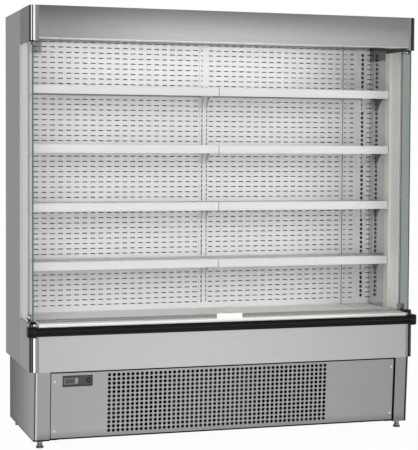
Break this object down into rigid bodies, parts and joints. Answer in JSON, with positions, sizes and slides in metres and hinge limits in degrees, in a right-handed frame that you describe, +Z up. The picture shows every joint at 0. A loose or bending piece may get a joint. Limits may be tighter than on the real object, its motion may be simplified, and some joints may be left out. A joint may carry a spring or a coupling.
{
  "type": "open multideck display fridge",
  "caption": "Open multideck display fridge with glazed ends, pull-out shelves, canopy with lamp, bumper rail and plug-in refrigeration unit.",
  "frame": {"origin": "middle of the outline on the floor, under the cabinet", "axes": "+X along the front to the right of a person who faces the open front, +Y from the open front to the rear wall, +Z up"},
  "size_m": [1.918, 0.702, 2.005],
  "materials": {
    "stainless": "brushed, satin",
    "side_steel": "brushed, satin",
    "corner_profile": "polished dark corner profile",
    "galvanised_steel": "galvanised, matt",
    "grey_steel": "grey powder coat",
    "bright_steel": "polished",
    "white_panel": "white powder coat",
    "shelf_steel": "white powder coat",
    "off_white_plastic": "extruded, satin",
    "pale_aluminium": "anodised, satin",
    "fin_aluminium": "mill finish",
    "chrome": "polished",
    "glass": "clear tempered",
    "bumper_black": "satin vinyl",
    "black_plastic": "fine grain",
    "grey_plastic": "satin",
    "rocker_green": "glossy",
    "lamp_diffuser": "frosted",
    "fan_plastic": "moulded",
    "foot_plastic": "moulded",
    "black_paint": "gloss black enamel"
  },
  "bodies": {
    "root": {"air_honeycomb": "off_white_plastic", "back_panels": "white_panel", "base_frame": "galvanised_steel", "bumper": "bumper_black", "bumper_caps": "bumper_black", "canopy_ends": "side_steel", "canopy_lining": "white_panel", "compressor": "black_paint", "condensate_tray": "grey_plastic", "condenser": "fin_aluminium", "condenser_shroud": "galvanised_steel", "control_plate": "black_plastic", "electrical_box": "grey_plastic", "end_glasses": "glass", "end_wall_left": "side_steel", "end_wall_right": "side_steel", "evaporator_coil": "fin_aluminium", "fan_plate": "galvanised_steel", "glass_channels": "pale_aluminium", "glass_clips": "chrome", "grille_panel": "stainless", "header_corners": "corner_profile", "header_front": "stainless", "lamp": "lamp_diffuser", "lower_cheeks": "side_steel", "lower_corners": "corner_profile", "lower_front_panel": "stainless", "nose_strip": "off_white_plastic", "panel_screws": "bright_steel", "plinth_ends": "stainless", "rear_vent_panel": "galvanised_steel", "rear_wall": "galvanised_steel", "return_grille": "grey_steel", "roof": "galvanised_steel", "shelf_brackets": "grey_steel", "switch_bezel": "black_plastic", "thermostat": "black_plastic", "tub": "white_panel", "uprights": "grey_steel"},
    "condenser_fan": {"condenser_fan": "fan_plastic"},
    "deck_left": {"deck_left": "white_panel"},
    "deck_right": {"deck_right": "white_panel"},
    "evaporator_fan_left": {"evaporator_fan_left": "fan_plastic"},
    "evaporator_fan_right": {"evaporator_fan_right": "fan_plastic"},
    "foot_front_left": {"foot_front_left": "foot_plastic"},
    "foot_front_right": {"foot_front_right": "foot_plastic"},
    "foot_rear_left": {"foot_rear_left": "foot_plastic"},
    "foot_rear_right": {"foot_rear_right": "foot_plastic"},
    "shelf_1_left": {"shelf_1_left": "shelf_steel"},
    "shelf_1_right": {"shelf_1_right": "shelf_steel"},
    "shelf_2_left": {"shelf_2_left": "shelf_steel"},
    "shelf_2_right": {"shelf_2_right": "shelf_steel"},
    "shelf_3_left": {"shelf_3_left": "shelf_steel"},
    "shelf_3_right": {"shelf_3_right": "shelf_steel"},
    "shelf_4_left": {"shelf_4_left": "shelf_steel"},
    "shelf_4_right": {"shelf_4_right": "shelf_steel"},
    "switch_rocker": {"switch_rocker": "rocker_green"},
    "thermostat_button_down": {"thermostat_button_down": "grey_plastic"},
    "thermostat_button_set": {"thermostat_button_set": "grey_plastic"},
    "thermostat_button_up": {"thermostat_button_up": "grey_plastic"}
  },
  "joints": [
    {"name": "shelf_1_left_pull", "type": "slide", "parent": "root", "child": "shelf_1_left", "axis": [0, -1, 0], "range_m": [0, 0.26]},
    {"name": "shelf_1_right_pull", "type": "slide", "parent": "root", "child": "shelf_1_right", "axis": [0, -1, 0], "range_m": [0, 0.26]},
    {"name": "shelf_2_left_pull", "type": "slide", "parent": "root", "child": "shelf_2_left", "axis": [0, -1, 0], "range_m": [0, 0.26]},
    {"name": "shelf_2_right_pull", "type": "slide", "parent": "root", "child": "shelf_2_right", "axis": [0, -1, 0], "range_m": [0, 0.26]},
    {"name": "shelf_3_left_pull", "type": "slide", "parent": "root", "child": "shelf_3_left", "axis": [0, -1, 0], "range_m": [0, 0.26]},
    {"name": "shelf_3_right_pull", "type": "slide", "parent": "root", "child": "shelf_3_right", "axis": [0, -1, 0], "range_m": [0, 0.26]},
    {"name": "shelf_4_left_pull", "type": "slide", "parent": "root", "child": "shelf_4_left", "axis": [0, -1, 0], "range_m": [0, 0.26]},
    {"name": "shelf_4_right_pull", "type": "slide", "parent": "root", "child": "shelf_4_right", "axis": [0, -1, 0], "range_m": [0, 0.26]},
    {"name": "deck_left_lift", "type": "slide", "parent": "root", "child": "deck_left", "axis": [0, 0, 1], "range_m": [0, 0.06]},
    {"name": "deck_right_lift", "type": "slide", "parent": "root", "child": "deck_right", "axis": [0, 0, 1], "range_m": [0, 0.06]},
    {"name": "button_down_press", "type": "slide", "parent": "root", "child": "thermostat_button_down", "axis": [0, 0.998, 0.0626], "range_m": [0, 0.001], "stiffness_N_per_m": 400},
    {"name": "button_set_press", "type": "slide", "parent": "root", "child": "thermostat_button_set", "axis": [0, 0.998, 0.0626], "range_m": [0, 0.001], "stiffness_N_per_m": 400},
    {"name": "button_up_press", "type": "slide", "parent": "root", "child": "thermostat_button_up", "axis": [0, 0.998, 0.0626], "range_m": [0, 0.001], "stiffness_N_per_m": 400},
    {"name": "switch_rock", "type": "hinge", "parent": "root", "child": "switch_rocker", "pos_m": [-0.674, -0.31274, 0.30862], "axis": [0, -0.0626, 0.998], "range_deg": [-16, 0]},
    {"name": "condenser_fan_spin", "type": "hinge", "parent": "root", "child": "condenser_fan", "pos_m": [-0.06, -0.159, 0.1885], "axis": [0, 1, 0], "continuous": true},
    {"name": "evaporator_fan_left_spin", "type": "hinge", "parent": "root", "child": "evaporator_fan_left", "pos_m": [-0.38, -0.114, 0.471], "axis": [0, 1, 0], "continuous": true},
    {"name": "evaporator_fan_right_spin", "type": "hinge", "parent": "root", "child": "evaporator_fan_right", "pos_m": [0.38, -0.114, 0.471], "axis": [0, 1, 0], "continuous": true},
    {"name": "foot_front_left_screw", "type": "slide", "parent": "root", "child": "foot_front_left", "axis": [0, 0, -1], "range_m": [0, 0.015]},
    {"name": "foot_front_right_screw", "type": "slide", "parent": "root", "child": "foot_front_right", "axis": [0, 0, -1], "range_m": [0, 0.015]},
    {"name": "foot_rear_left_screw", "type": "slide", "parent": "root", "child": "foot_rear_left", "axis": [0, 0, -1], "range_m": [0, 0.015]},
    {"name": "foot_rear_right_screw", "type": "slide", "parent": "root", "child": "foot_rear_right", "axis": [0, 0, -1], "range_m": [0, 0.015]}
  ]
}
